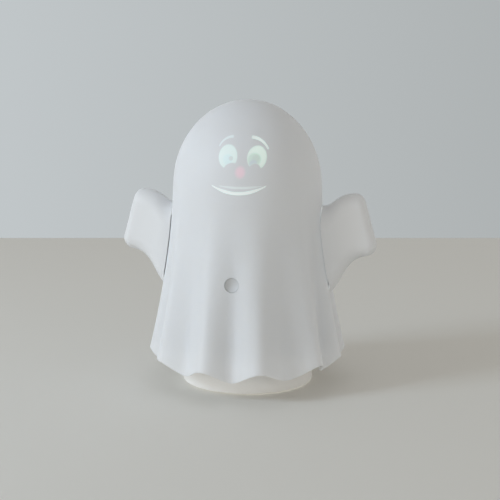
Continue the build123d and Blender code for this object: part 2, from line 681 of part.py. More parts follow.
# Base: round tub with the battery bay, speaker seat and switch slot in its floor
with BuildPart() as base_housing:
    with Locations((0, 0, FOOT_HEIGHT)):
        Cylinder(BASE_RADIUS, DECK_BOTTOM - FOOT_HEIGHT, align=ON_TOP)
    fillet(base_housing.edges().group_by(Axis.Z)[0], BASE_FILLET)
    with BuildSketch(Plane.XY.offset(FLOOR_TOP)):
        Circle(BASE_RADIUS - BASE_WALL)
    extrude(amount=DECK_BOTTOM - FLOOR_TOP, mode=Mode.SUBTRACT)
    with BuildSketch(Plane.XY.offset(FLOOR_TOP)):
        with Locations((0, BAY_Y)):
            Rectangle(BAY_LENGTH + 2 * BAY_WALL, bay_depth + 2 * BAY_WALL)
    extrude(amount=bay_top + BAY_WALL - FLOOR_TOP)
    with BuildSketch(Plane.XY.offset(FLOOR_TOP)):
        with Locations((0, door_screw_y)):
            Circle(DOOR_TAB_RADIUS)
        with Locations((0, door_front)):
            Rectangle(2 * DOOR_TAB_RADIUS, DOOR_TAB_RADIUS, align=(Align.CENTER, Align.MAX))
    extrude(amount=DOOR_BOSS_HEIGHT)
    with BuildSketch(Plane.XY.offset(FOOT_HEIGHT)):
        with Locations((0, BAY_Y)):
            Rectangle(BAY_LENGTH, bay_depth)
    extrude(amount=bay_top - FOOT_HEIGHT, mode=Mode.SUBTRACT)
    with BuildSketch(Plane.XY.offset(FOOT_HEIGHT)):
        with Locations((0, door_screw_y)):
            Circle(DOOR_TAB_RADIUS + DOOR_GAP)
        with Locations((0, door_front)):
            Rectangle(
                2 * (DOOR_TAB_RADIUS + DOOR_GAP), DOOR_TAB_RADIUS, align=(Align.CENTER, Align.MAX)
            )
    extrude(amount=BASE_FLOOR + DOOR_BOSS_GAP, mode=Mode.SUBTRACT)
    with Locations((0, door_screw_y, FLOOR_TOP)):
        Cylinder(
            SCREW_RADIUS + DOOR_SCREW_SWING, DOOR_BOSS_HEIGHT, align=ON_TOP, mode=Mode.SUBTRACT
        )
    with Locations(Plane(origin=(0, door_axis_y, door_axis_z), z_dir=(1, 0, 0))):
        Cylinder(
            DOOR_PIN_RADIUS + DOOR_PIN_GAP,
            2 * (door_half + DOOR_PIN_LENGTH + DOOR_GAP),
            mode=Mode.SUBTRACT,
        )
    with BuildSketch(Plane.XY.offset(FLOOR_TOP)):
        with Locations((0, SPEAKER_Y)):
            Circle(SPEAKER_RADIUS + SEAT_GAP + SEAT_WALL)
            Circle(SPEAKER_RADIUS - SPEAKER_FLANGE_WIDTH, mode=Mode.SUBTRACT)
    extrude(amount=SEAT_HEIGHT + SPEAKER_FLANGE)
    with BuildSketch(Plane.XY.offset(FLOOR_TOP + SEAT_HEIGHT)):
        with Locations((0, SPEAKER_Y)):
            Circle(SPEAKER_RADIUS + SEAT_GAP)
    extrude(amount=SPEAKER_FLANGE, mode=Mode.SUBTRACT)
    with BuildSketch(Plane.XY.offset(FOOT_HEIGHT)):
        with Locations((0, SPEAKER_Y)):
            Circle(GRILLE_HOLE)
            with PolarLocations(GRILLE_PITCH, 6):
                Circle(GRILLE_HOLE)
            with PolarLocations(2 * GRILLE_PITCH, 12):
                Circle(GRILLE_HOLE)
        with Locations((SWITCH_X, SWITCH_Y)):
            Rectangle(KNOB_WIDTH + 2 * KNOB_GAP, KNOB_LENGTH + SWITCH_TRAVEL + 2 * KNOB_GAP)
    extrude(amount=BASE_FLOOR, mode=Mode.SUBTRACT)
    with Locations(*[(x, y, FOOT_HEIGHT) for x, y in BASE_SCREWS]):
        Cylinder(SCREW_RADIUS + SCREW_GAP, BASE_FLOOR, align=ON_TOP, mode=Mode.SUBTRACT)
        Cylinder(SCREW_HEAD_RADIUS + HEAD_GAP, SCREW_HEAD, align=ON_TOP, mode=Mode.SUBTRACT)
    with Locations(*[(x, y, FOOT_HEIGHT) for x, y in FEET]):
        Cylinder(FOOT_RADIUS, FOOT_SEAT, align=ON_TOP, mode=Mode.SUBTRACT)

with BuildPart() as rubber_feet:
    with Locations(*[(x, y, 0) for x, y in FEET]):
        Cylinder(FOOT_RADIUS, FOOT_HEIGHT + FOOT_SEAT, align=ON_TOP)

# Deck: plate inside the skirt that carries the works and closes the base
with BuildPart() as deck:
    with BuildSketch(Plane.XY.offset(DECK_BOTTOM)):
        Circle(deck_radius)
        with Locations(*shell_bosses):
            Circle(SHELL_BOSS_RADIUS)
    extrude(amount=DECK_THICK)
    with Locations(*[(x, y, DECK_BOTTOM) for x, y in BASE_SCREWS]):
        Cylinder(POST_RADIUS, DECK_BOTTOM - FLOOR_TOP, align=BELOW)
    with Locations(*[(x, y, DECK_BOTTOM) for x, y in frame_feet + cradle_feet]):
        Cylinder(POST_RADIUS, PLUG_DEPTH, align=BELOW)
    with Locations(*[(x, y, DECK_TOP) for x, y in board_corners]):
        Cylinder(STANDOFF_RADIUS, BOARD_STANDOFF, align=ON_TOP)
    with Locations(*[(x, y, FLOOR_TOP) for x, y in BASE_SCREWS]):
        Cylinder(SCREW_RADIUS + SCREW_GAP, SCREW_LENGTH, align=ON_TOP, mode=Mode.SUBTRACT)
    with Locations(*[(x, y, DECK_TOP) for x, y in frame_feet + cradle_feet]):
        Cylinder(SCREW_RADIUS + SCREW_GAP, SCREW_LENGTH, align=BELOW, mode=Mode.SUBTRACT)
    with Locations(*[(x, y, DECK_TOP + BOARD_STANDOFF) for x, y in board_corners]):
        Cylinder(SCREW_RADIUS + SCREW_GAP, SCREW_LENGTH, align=BELOW, mode=Mode.SUBTRACT)
    with Locations(*[(x, y, DECK_BOTTOM) for x, y in shell_bosses]):
        Cylinder(SCREW_RADIUS + SCREW_GAP, DECK_THICK, align=ON_TOP, mode=Mode.SUBTRACT)
    with Locations(*[(side * board_corner_x / 2, board_corner_y, DECK_BOTTOM) for side in SIDES]):
        Cylinder(WIRE_HOLE_RADIUS, DECK_THICK, align=ON_TOP, mode=Mode.SUBTRACT)

# Screws, grouped by what they hold
with BuildPart() as base_screws:
    screws(BASE_SCREWS, FOOT_HEIGHT + SCREW_HEAD, True)
with BuildPart() as shell_screws:
    screws(shell_bosses, DECK_BOTTOM, True)
with BuildPart() as frame_screws:
    screws(frame_feet, DECK_TOP + LEG_FOOT_THICK, False)
with BuildPart() as cradle_screws:
    screws(cradle_feet, DECK_TOP + CRADLE_FLANGE_THICK, False)
with BuildPart() as board_screws:
    screws(board_corners, DECK_TOP + BOARD_STANDOFF + BOARD_THICK, False, SCREW_LENGTH - BOARD_STANDOFF)

# Main board and what stands on it
board_top = DECK_TOP + BOARD_STANDOFF + BOARD_THICK
with BuildPart() as main_board:
    with BuildSketch(Plane.XY.offset(board_top - BOARD_THICK)):
        with Locations((0, BOARD_Y)):
            Rectangle(BOARD_WIDTH, BOARD_DEPTH)
        with Locations(*board_corners):
            Circle(SCREW_RADIUS + SCREW_GAP, mode=Mode.SUBTRACT)
    extrude(amount=BOARD_THICK)

with BuildPart() as board_parts:
    with Locations((0, BOARD_Y, board_top)):
        Box(CHIP_SIZE, CHIP_SIZE, CHIP_HEIGHT, align=ON_TOP)
    with Locations(*[(i * PLUG_PITCH, BOARD_Y + board_corner_y, board_top) for i in (-1, 0, 1)]):
        Box(PLUG_WIDTH, PLUG_SOCKET_DEPTH, PLUG_SOCKET_HEIGHT, align=ON_TOP)
    with Locations(*[(side * board_corner_x / 2, BOARD_Y, board_top) for side in SIDES]):
        Cylinder(CAPACITOR_RADIUS, CAPACITOR_HEIGHT, align=ON_TOP)

# Batteries lie across the base, turned end for end
with BuildPart() as battery_cells:
    for index, y in enumerate(cell_ys):
        turn = 1 if index % 2 == 0 else -1
        with BuildSketch(Plane(origin=(-turn * CELL_LENGTH / 2, y, cell_z), z_dir=(turn, 0, 0))):
            Circle(CELL_RADIUS)
        extrude(amount=CELL_LENGTH)
        with BuildSketch(Plane(origin=(turn * CELL_LENGTH / 2, y, cell_z), z_dir=(turn, 0, 0))):
            Circle(CELL_NUB_RADIUS)
        extrude(amount=CELL_NUB)

with BuildPart() as battery_contacts:
    for index, y in enumerate(cell_ys):
        for side in SIDES:
            nub = CELL_NUB if side == (1 if index % 2 == 0 else -1) else 0
            cell_end = CELL_LENGTH / 2 + nub + CONTACT_GAP
            plate = BAY_LENGTH / 2 - CONTACT_GAP
            with BuildSketch(Plane(origin=(side * plate, y, cell_z), z_dir=(-side, 0, 0))):
                Rectangle(CONTACT_SIZE, CONTACT_SIZE)
            extrude(amount=CONTACT_THICK)
            with BuildSketch(Plane(origin=(side * plate, y, cell_z), z_dir=(-side, 0, 0))):
                Circle(CONTACT_DOME_RADIUS)
            extrude(amount=plate - cell_end)

# Battery door: swings down on stub pins at its rear edge, held by one screw in its tab
with BuildPart() as battery_door:
    with BuildSketch(Plane.XY.offset(FOOT_HEIGHT)):
        with Locations((0, door_axis_y)):
            Rectangle(2 * door_half, door_axis_y - door_front, align=(Align.CENTER, Align.MAX))
        with Locations((0, door_screw_y)):
            Circle(DOOR_TAB_RADIUS)
        with Locations((0, door_front)):
            Rectangle(2 * DOOR_TAB_RADIUS, DOOR_TAB_RADIUS, align=(Align.CENTER, Align.MAX))
    extrude(amount=BASE_FLOOR)
    with Locations(Plane(origin=(0, door_axis_y, door_axis_z), z_dir=(1, 0, 0))):
        Cylinder(BASE_FLOOR / 2, 2 * door_half)
        Cylinder(DOOR_PIN_RADIUS, 2 * (door_half + DOOR_PIN_LENGTH))
    with Locations((0, door_screw_y, FOOT_HEIGHT)):
        Cylinder(SCREW_RADIUS + SCREW_GAP, BASE_FLOOR, align=ON_TOP, mode=Mode.SUBTRACT)
        Cylinder(SCREW_HEAD_RADIUS + HEAD_GAP, SCREW_HEAD, align=ON_TOP, mode=Mode.SUBTRACT)

with BuildPart() as door_screw:
    screws([(0, door_screw_y)], FOOT_HEIGHT + SCREW_HEAD, True, DOOR_SCREW_LENGTH)

# Speaker, facing down through the grille
speaker_seat = FLOOR_TOP + SEAT_HEIGHT
with BuildPart() as speaker_frame:
    with BuildSketch(Plane.XY.offset(speaker_seat)):
        with Locations((0, SPEAKER_Y)):
            Circle(SPEAKER_RADIUS)
    extrude(amount=SPEAKER_FLANGE)
    with Locations((0, SPEAKER_Y, speaker_seat + SPEAKER_FLANGE)):
        Cone(
            SPEAKER_RADIUS - SPEAKER_FLANGE_WIDTH + SPEAKER_SKIN,
            MAGNET_RADIUS,
            SPEAKER_DEPTH,
            align=ON_TOP,
        )
    with Locations((0, SPEAKER_Y, speaker_seat)):
        Cylinder(
            SPEAKER_RADIUS - SPEAKER_FLANGE_WIDTH,
            SPEAKER_FLANGE,
            align=ON_TOP,
            mode=Mode.SUBTRACT,
        )
    with Locations((0, SPEAKER_Y, speaker_seat + SPEAKER_FLANGE)):
        Cone(
            SPEAKER_RADIUS - SPEAKER_FLANGE_WIDTH,
            MAGNET_RADIUS - SPEAKER_SKIN,
            SPEAKER_DEPTH - SPEAKER_SKIN,
            align=ON_TOP,
            mode=Mode.SUBTRACT,
        )

with BuildPart() as speaker_magnet:
    with Locations((0, SPEAKER_Y, speaker_seat + SPEAKER_FLANGE + SPEAKER_DEPTH)):
        Cylinder(MAGNET_RADIUS, MAGNET_HEIGHT, align=ON_TOP)

with BuildPart() as speaker_cone:
    with BuildSketch(Plane.XY.offset(speaker_seat)):
        with Locations((0, SPEAKER_Y)):
            Circle(SPEAKER_RADIUS - SPEAKER_FLANGE_WIDTH - SCREW_GAP)
    extrude(amount=CONE_SKIN)

# Power switch beside the battery bay
with BuildPart() as switch_body:
    with Locations((SWITCH_X, SWITCH_Y, FLOOR_TOP)):
        Box(SWITCH_WIDTH, SWITCH_LENGTH, SWITCH_HEIGHT, align=ON_TOP)
        Box(
            KNOB_WIDTH + 2 * KNOB_GAP,
            KNOB_LENGTH + SWITCH_TRAVEL + 2 * KNOB_GAP,
            KNOB_DEPTH + KNOB_GAP,
            align=ON_TOP,
            mode=Mode.SUBTRACT,
        )

with BuildPart() as switch_knob:
    with Locations((SWITCH_X, SWITCH_Y - SWITCH_TRAVEL / 2, KNOB_TIP)):
        Box(KNOB_WIDTH, KNOB_LENGTH, FLOOR_TOP + KNOB_DEPTH - KNOB_TIP, align=ON_TOP)

# Push button on its axis, with the switch it works
with BuildPart() as button_cap:
    with BuildSketch(button_axis.offset(-flange_front)):
        Circle(BUTTON_RADIUS)
    extrude(amount=flange_front - BUTTON_RECESS)
    with BuildSketch(button_axis.offset(-flange_front - BUTTON_FLANGE_THICK)):
        Circle(BUTTON_RADIUS + BUTTON_FLANGE)
    extrude(amount=BUTTON_FLANGE_THICK)
    with BuildSketch(button_axis.offset(-stem_end)):
        Circle(STEM_RADIUS)
    extrude(amount=STEM_LENGTH)
    dish_radius = (BUTTON_RADIUS**2 + BUTTON_DISH**2) / (2 * BUTTON_DISH)
    with Locations(button_axis.offset(-BUTTON_RECESS - BUTTON_DISH + dish_radius)):
        Sphere(dish_radius, mode=Mode.SUBTRACT)

with BuildPart() as switch_plunger:
    with BuildSketch(button_axis.offset(-stem_end - PLUNGER_LENGTH)):
        Circle(PLUNGER_RADIUS)
    extrude(amount=PLUNGER_LENGTH)

with BuildPart() as tact_switch:
    with BuildSketch(button_axis.offset(-board_face)):
        Rectangle(TACT_SIZE, TACT_SIZE)
        Circle(PLUNGER_RADIUS + PLUNGER_GAP, mode=Mode.SUBTRACT)
    extrude(amount=TACT_HEIGHT)

with BuildPart() as button_board:
    with BuildSketch(button_axis.offset(-board_face - BUTTON_BOARD_THICK)):
        Rectangle(BUTTON_BOARD_WIDTH, BUTTON_BOARD_HEIGHT)
        with Locations(*button_posts):
            Circle(SCREW_RADIUS + SCREW_GAP, mode=Mode.SUBTRACT)
        Circle(PLUNGER_RADIUS + PLUNGER_GAP, mode=Mode.SUBTRACT)
    extrude(amount=BUTTON_BOARD_THICK)

with BuildPart() as button_screws:
    with BuildSketch(button_axis.offset(-board_face - BUTTON_BOARD_THICK - SCREW_HEAD)):
        with Locations(*button_posts):
            Circle(SCREW_HEAD_RADIUS - HEAD_GAP)
    extrude(amount=SCREW_HEAD)
    with BuildSketch(button_axis.offset(-board_face - BUTTON_BOARD_THICK)):
        with Locations(*button_posts):
            Circle(SCREW_RADIUS)
    extrude(amount=SCREW_LENGTH)

# Projector, front to back
with BuildPart() as lens_barrel:
    with BuildSketch(projector.offset(-BARREL_LENGTH)):
        Circle(BARREL_RADIUS)
        Circle(BARREL_BORE, mode=Mode.SUBTRACT)
    extrude(amount=BARREL_LENGTH)
    with BuildSketch(projector.offset(-BARREL_LIP)):
        Circle(BARREL_BORE)
        Circle(BARREL_BORE - BARREL_LIP, mode=Mode.SUBTRACT)
    extrude(amount=BARREL_LIP)


def lens_bow(radius, bulge, share):
    """Height of a spherical lens face above its rim, at a share of the radius."""
    sphere = (radius**2 + bulge**2) / (2 * bulge)
    return math.sqrt(sphere**2 - (share * radius) ** 2) - sphere + bulge


def lens_solid(radius, front, edge, bulge_front, bulge_back):
    """A round lens on the projector's axis; its rim starts at a distance behind the front."""
    back = front + edge
    section = Plane(origin=projector.origin, x_dir=projector.x_dir, z_dir=-projector.y_dir)
    with BuildPart() as lens:
        with BuildSketch(section):
            with BuildLine():
                Line((0, bulge_front - front), (0, -back - bulge_back))
                if bulge_back:
                    middle = (radius / 2, -back - lens_bow(radius, bulge_back, 0.5))
                    ThreePointArc((0, -back - bulge_back), middle, (radius, -back))
                else:
                    Line((0, -back), (radius, -back))
                Line((radius, -back), (radius, -front))
                middle = (radius / 2, lens_bow(radius, bulge_front, 0.5) - front)
                ThreePointArc((radius, -front), middle, (0, bulge_front - front))
            make_face()
        revolve(axis=Axis(projector.origin, projector.z_dir))
    return lens.part


lens = lens_solid(
    BARREL_BORE - LENS_GAP, LENS_SETBACK + LENS_BULGE, LENS_EDGE, LENS_BULGE, LENS_BULGE
)
condenser_lens = lens_solid(
    CONDENSER_RADIUS, case_front + CONDENSER_SETBACK, CONDENSER_FLANGE, CONDENSER_BULGE, 0
)

with BuildPart() as projection_lens:
    add(lens)

with BuildPart() as projector_case:
    with BuildSketch(projector.offset(-case_back)):
        RectangleRounded(CASE_WIDTH, CASE_HEIGHT, CASE_CORNER)
    extrude(amount=CASE_LENGTH)
    with BuildSketch(projector.offset(-case_back)):
        Rectangle(CASE_WIDTH - 2 * CASE_WALL, CASE_HEIGHT - 2 * CASE_WALL)
    extrude(amount=CASE_LENGTH - CASE_WALL, mode=Mode.SUBTRACT)
    with BuildSketch(projector.offset(-BARREL_LENGTH)):
        Circle(BARREL_RADIUS + SCREW_GAP)
    extrude(amount=BARREL_LENGTH, mode=Mode.SUBTRACT)

with BuildPart() as picture_panel:
    with BuildSketch(projector.offset(-case_front - PANEL_SETBACK - PANEL_THICK)):
        Rectangle(insert_width, insert_height)
    extrude(amount=PANEL_THICK)

with BuildPart() as condenser:
    with BuildSketch(projector.offset(-case_front - CONDENSER_SETBACK - CONDENSER_FLANGE)):
        Rectangle(insert_width, insert_height)
    extrude(amount=CONDENSER_FLANGE)
    add(condenser_lens)

with BuildPart() as led_board:
    with BuildSketch(projector.offset(-case_front - LED_SETBACK - LED_BOARD)):
        Rectangle(insert_width, insert_height)
    extrude(amount=LED_BOARD)

with BuildPart() as led_emitter:
    with BuildSketch(projector.offset(-case_front - LED_SETBACK)):
        Circle(LED_RADIUS)
    extrude(amount=LED_HEIGHT)

with BuildPart() as heat_sink:
    with BuildSketch(projector.offset(-case_back - SINK_PLATE)):
        RectangleRounded(CASE_WIDTH, CASE_HEIGHT, CASE_CORNER)
    extrude(amount=SINK_PLATE)
    fin_pitch = (CASE_WIDTH - 2 * CASE_CORNER) / (SINK_FINS - 1)
    with BuildSketch(projector.offset(-case_back - SINK_PLATE - SINK_FIN_HEIGHT)):
        with GridLocations(fin_pitch, 0, SINK_FINS, 1):
            Rectangle(SINK_FIN, CASE_HEIGHT - 2 * CASE_CORNER)
    extrude(amount=SINK_FIN_HEIGHT)

# Cradle: two cheeks on the deck that hold the projector at its tilt
cheek_high = projector.from_local_coords(Vector(0, 0, -case_front - CASE_WALL))
cheek_low = projector.from_local_coords(Vector(0, 0, -case_back + CASE_WALL))
with BuildPart() as projector_cradle:
    for side in SIDES:
        with BuildSketch(Plane.YZ.offset(side * cradle_x)):
            with BuildLine():
                Polyline(
                    (CRADLE_FRONT, DECK_TOP),
                    (CRADLE_BACK, DECK_TOP),
                    (CRADLE_BACK, cheek_low.Z),
                    (cheek_high.Y + CASE_HEIGHT / 4, cheek_high.Z),
                    (CRADLE_FRONT, cheek_high.Z),
                    close=True,
                )
            make_face()
        extrude(amount=side * CRADLE_THICK)
        with BuildSketch(Plane.XY.offset(DECK_TOP)):
            with Locations((side * cradle_screw_x, (CRADLE_FRONT + CRADLE_BACK) / 2)):
                Rectangle(CRADLE_FLANGE, CRADLE_BACK - CRADLE_FRONT)
        extrude(amount=CRADLE_FLANGE_THICK)
    with Locations((0, CRADLE_BACK, DECK_TOP)):
        Box(
            2 * cradle_x, CRADLE_FLANGE, CRADLE_FLANGE_THICK, align=(Align.CENTER, Align.MAX, Align.MIN)
        )
    with Locations(*[(x, y, DECK_TOP) for x, y in cradle_feet]):
        Cylinder(
            SCREW_RADIUS + SCREW_GAP, CRADLE_FLANGE_THICK, align=ON_TOP, mode=Mode.SUBTRACT
        )

finish(body_shell.part, "body_shell")
finish(right_arm.part, "right_arm")
finish(left_arm.part, "left_arm")
finish(right_lever.part, "right_lever")
finish(left_lever.part, "left_lever")
finish(shoulder_pins.part, "shoulder_pins")
finish(crosshead.part, "crosshead")
finish(guide_screws.part, "guide_screws")
finish(crank.part, "crank")
finish(drive_frame.part, "drive_frame")
finish(gearbox.part, "gearbox")
finish(motor.part, "motor")
finish(base_housing.part, "base_housing")
finish(rubber_feet.part, "rubber_feet")
finish(deck.part, "deck")
finish(base_screws.part, "base_screws")
finish(shell_screws.part, "shell_screws")
finish(frame_screws.part, "frame_screws")
finish(cradle_screws.part, "cradle_screws")
finish(board_screws.part, "board_screws")
finish(main_board.part, "main_board")
finish(board_parts.part, "board_parts")
finish(battery_cells.part, "battery_cells")
finish(battery_contacts.part, "battery_contacts")
finish(battery_door.part, "battery_door")
finish(door_screw.part, "door_screw")
finish(speaker_frame.part, "speaker_frame")
finish(speaker_magnet.part, "speaker_magnet")
finish(speaker_cone.part, "speaker_cone")
finish(switch_body.part, "switch_body")
finish(switch_knob.part, "switch_knob")
finish(button_cap.part, "button_cap")
finish(switch_plunger.part, "switch_plunger")
finish(tact_switch.part, "tact_switch")
finish(button_board.part, "button_board")
finish(button_screws.part, "button_screws")
finish(lens_barrel.part, "lens_barrel")
finish(projection_lens.part, "projection_lens")
finish(projector_case.part, "projector_case")
finish(picture_panel.part, "picture_panel")
finish(condenser.part, "condenser")
finish(led_board.part, "led_board")
finish(led_emitter.part, "led_emitter")
finish(heat_sink.part, "heat_sink")
finish(projector_cradle.part, "projector_cradle")
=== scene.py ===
import math

import bpy
from mathutils import Euler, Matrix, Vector


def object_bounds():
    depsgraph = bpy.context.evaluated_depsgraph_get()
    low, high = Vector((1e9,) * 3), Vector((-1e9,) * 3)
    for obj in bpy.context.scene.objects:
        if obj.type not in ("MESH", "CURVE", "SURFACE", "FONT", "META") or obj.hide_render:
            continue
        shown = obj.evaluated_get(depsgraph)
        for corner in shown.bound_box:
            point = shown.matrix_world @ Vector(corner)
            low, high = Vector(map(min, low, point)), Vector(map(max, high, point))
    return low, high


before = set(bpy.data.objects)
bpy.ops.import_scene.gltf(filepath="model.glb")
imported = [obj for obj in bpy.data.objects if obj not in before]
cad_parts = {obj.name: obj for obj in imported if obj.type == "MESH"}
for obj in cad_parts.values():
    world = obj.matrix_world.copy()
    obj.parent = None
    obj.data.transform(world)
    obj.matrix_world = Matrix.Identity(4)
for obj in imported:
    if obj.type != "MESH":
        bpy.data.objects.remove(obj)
cad_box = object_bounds()

MM = 1000.0  # millimetres in a metre

# Camera: about 1.1 m away, 11 degrees towards the right arm and 10 degrees down
LENS = 90.0  # millimetres, and so is the sensor's width
SENSOR = 36.0
VIEW_AZIMUTH = math.radians(11.0)
VIEW_PITCH = math.radians(10.2)
VIEW_DISTANCE = 1.093  # metres, and so are the next two
VIEW_HEIGHT = 0.3135
VIEW_OFFSET = 0.0022  # to the right
VIEW_RIGHT = Vector((math.cos(VIEW_AZIMUTH), math.sin(VIEW_AZIMUTH), 0))

# Table: lengths in metres
TABLE_SIDE = 4.0
TABLE_FRONT = 5.0
TABLE_BACK = 0.751
TABLE_CLEAR = 0.0016  # light within this reach passes, so that the underside can be seen
TABLE_DARK = (0.78, 0.765, 0.72)
TABLE_PALE = (0.80, 0.785, 0.74)
TABLE_ROUGHNESS = 0.75

# Lamps: angles in degrees, lengths in metres, power in watts
KEY = {
    "azimuth": -57.0,
    "elevation": 28.0,
    "distance": 1.7,
    "size": 0.45,
    "power": 8.6,
    "colour": (0.70, 0.845, 1.0),
}
FILL = {
    "azimuth": -47.0,
    "elevation": 6.0,
    "distance": 7.0,
    "size": 1.6,
    "power": 52.0,
    "colour": (1.0, 0.98, 0.95),
}
SKY_HORIZON = 0.91  # strength of the soft light from level with the table
SKY_ZENITH = 0.26  # and from straight above
SKY_COLOUR = (1.0, 0.98, 0.935)
# The wall: painted light on its left and painted shade on its right
WALL_PAINTED_LIT = (0.53, 0.565, 0.58)
WALL_PAINTED_SHADE = (0.43, 0.455, 0.46)
WALL_SPREAD = 0.19  # sideways reach of the wall's painted fall of light, from lit on the left to shaded on the right, as a share of its distance

# Moulded plastics: colour, roughness, size and depth of the grain in millimetres, drift of tone
MOULDED = {
    "sheet_white": ((0.795, 0.812, 0.84), 0.58, 0.35, 0.02, 0.012),
    "arm_white": ((0.79, 0.80, 0.815), 0.58, 0.35, 0.02, 0.012),
    # the base's own white, set paler than the sheet's as painted light against the shade under the hem
    "base_white": ((0.89, 0.885, 0.87), 0.52, 0.4, 0.02, 0.012),
    # the button is the sheet's white plastic, darkened here by painted shade of its dished face
    "button_white": ((0.61, 0.625, 0.64), 0.5, 0.3, 0.012, 0.015),
    "foot_rubber": ((0.045, 0.045, 0.045), 0.8, 0.5, 0.02, 0.1),
    "acetal": ((0.82, 0.80, 0.74), 0.38, 0.6, 0.01, 0.03),
    "frame_plastic": ((0.028, 0.028, 0.03), 0.55, 0.4, 0.02, 0.12),
    "chip_black": ((0.012, 0.012, 0.012), 0.6, 0.2, 0.01, 0.2),
    "projector_black": ((0.015, 0.015, 0.016), 0.6, 0.3, 0.015, 0.15),
    "led_yellow": ((0.75, 0.62, 0.15), 0.4, 0.2, 0.005, 0.06),
}
DRIFT_SCALE = 14.0  # slow patches of tone to a metre
GRAIN_GLOSS = 0.06  # change of roughness over the grain, either way

# Brushed metals: colour, roughness and how finely the lines repeat along each axis
METALS = {
    "steel": ((0.52, 0.52, 0.52), 0.32, (1, 1, 14)),
    "contact_brass": ((0.62, 0.45, 0.20), 0.3, (1, 12, 1)),
    "sink_aluminium": ((0.68, 0.69, 0.70), 0.38, (1, 1, 10)),
}
BRUSH_SCALE = 900.0  # cells of the pattern to a metre, before that
BRUSH_GLOSS = (0.08, 0.1)  # change of roughness over the lines, down and up

# Light inside the sheet: share, reach of red, green and blue, and the length of that reach in metres
SHEET_DEPTH_SHARE = 0.6
SHEET_DEPTH_REACH = (1.0, 0.95, 0.9)
SHEET_DEPTH_SCALE = 0.007
FACE_MIDDLE = 6.5  # millimetres; the face is thrown a little to the right of the front
FACE_FRONT = (-0.020, -0.030)  # the face's light starts and is full this far forward, in metres

# Painted light on other pieces than the sheet, standing in for light from the lamp inside: it lightens
# the shade in the arms' seams, behind the shoulder slots and on the base under the hem
PAINTED_LIGHT_COLOUR = (0.95, 1.0, 0.98)
ARM_PAINTED_LIGHT = 0.3  # strength of the painted light at the root of the arms, which lightens the shade in the seam
ARM_ROOT_TURN = (-0.8, -0.93)  # turn towards the body at which the painted light starts and is full
LEVER_PAINTED_LIGHT = 0.35  # strength of the painted light on the levers behind the shoulder slots, which lightens the shade seen through them
# painted light on the base, which lightens the shade under the hem
BASE_PAINTED_LIGHT_COLOUR = (1.0, 0.92, 0.8)
BASE_PAINTED_LIGHT = 0.04


class Nodes:
    """A node tree, with short calls for building patterns in it."""

    def __init__(self, tree):
        self.nodes = tree.nodes
        self.links = tree.links

    def new(self, kind, **settings):
        """Adds a shader node."""
        node = self.nodes.new("ShaderNode" + kind)
        for name, value in settings.items():
            setattr(node, name, value)
        return node

    def feed(self, socket, value):
        """Links a socket to another node's output, or gives it a constant."""
        if isinstance(value, bpy.types.NodeSocket):
            self.links.new(value, socket)
        else:
            socket.default_value = value

    def tint(self, socket, colour):
        """Feeds a colour socket."""
        self.feed(socket, colour if isinstance(colour, bpy.types.NodeSocket) else (*colour, 1.0))

    def maths(self, operation, *values):
        """Result of a sum on sockets or constants."""
        node = self.new("Math", operation=operation)
        for socket, value in zip(node.inputs, values):
            self.feed(socket, value)
        return node.outputs[0]

    def fade(self, value, start, end, low=0.0, high=1.0, kind="SMOOTHSTEP"):
        """Value that goes from low at start to high at end."""
        node = self.new("MapRange", interpolation_type=kind)
        names = ("Value", "From Min", "From Max", "To Min", "To Max")
        for name, given in zip(names, (value, start, end, low, high)):
            self.feed(node.inputs[name], given)
        return node.outputs["Result"]

    def blend(self, share, first, second):
        """Colour between two colours."""
        node = self.new("Mix", data_type="RGBA")
        self.feed(node.inputs["Factor"], share)
        for socket, colour in zip((node.inputs[6], node.inputs[7]), (first, second)):
            self.tint(socket, colour)
        return node.outputs[2]

    def either(self, share, first, second):
        """Shader between two shaders."""
        node = self.new("MixShader")
        for socket, given in zip(node.inputs, (share, first, second)):
            self.feed(socket, given)
        return node.outputs["Shader"]


class Finish(Nodes):
    """A node material, with a plain colour and roughness that patterns can take the place of."""

    def __init__(self, slot, colour, roughness):
        self.slot = slot
        self.material = bpy.data.materials.new(slot + "_look")
        self.material.use_nodes = True
        super().__init__(self.material.node_tree)
        self.shader = self.nodes["Principled BSDF"]
        self.coordinates = self.new("TexCoord")
        self.tint(self.shader.inputs["Base Color"], colour)
        self.set("Roughness", roughness)

    def set(self, name, value):
        """Feeds an input of the main shader."""
        self.feed(self.shader.inputs[name], value)

    def axes(self, output):
        """X, Y and Z of one of the coordinates."""
        split = self.new("SeparateXYZ")
        self.feed(split.inputs["Vector"], self.coordinates.outputs[output])
        return split.outputs

    def noise(self, scale, detail=2.0, stretch=(1, 1, 1)):
        """Cloudy pattern, with as many cells to a metre as its scale."""
        mapping = self.new("Mapping")
        self.feed(mapping.inputs["Vector"], self.coordinates.outputs["Object"])
        self.feed(mapping.inputs["Scale"], stretch)
        node = self.new("TexNoise")
        self.feed(node.inputs["Vector"], mapping.outputs["Vector"])
        self.feed(node.inputs["Scale"], scale)
        self.feed(node.inputs["Detail"], detail)
        return node.outputs["Fac"]

    def bump(self, height, depth_mm):
        """Raises the surface by a height pattern."""
        node = self.new("Bump")
        self.feed(node.inputs["Strength"], 1.0)
        self.feed(node.inputs["Distance"], depth_mm / MM)
        self.feed(node.inputs["Height"], height)
        self.set("Normal", node.outputs["Normal"])

    def glow(self, colour, strength):
        """Adds light of its own."""
        self.tint(self.shader.inputs["Emission Color"], colour)
        self.set("Emission Strength", strength)


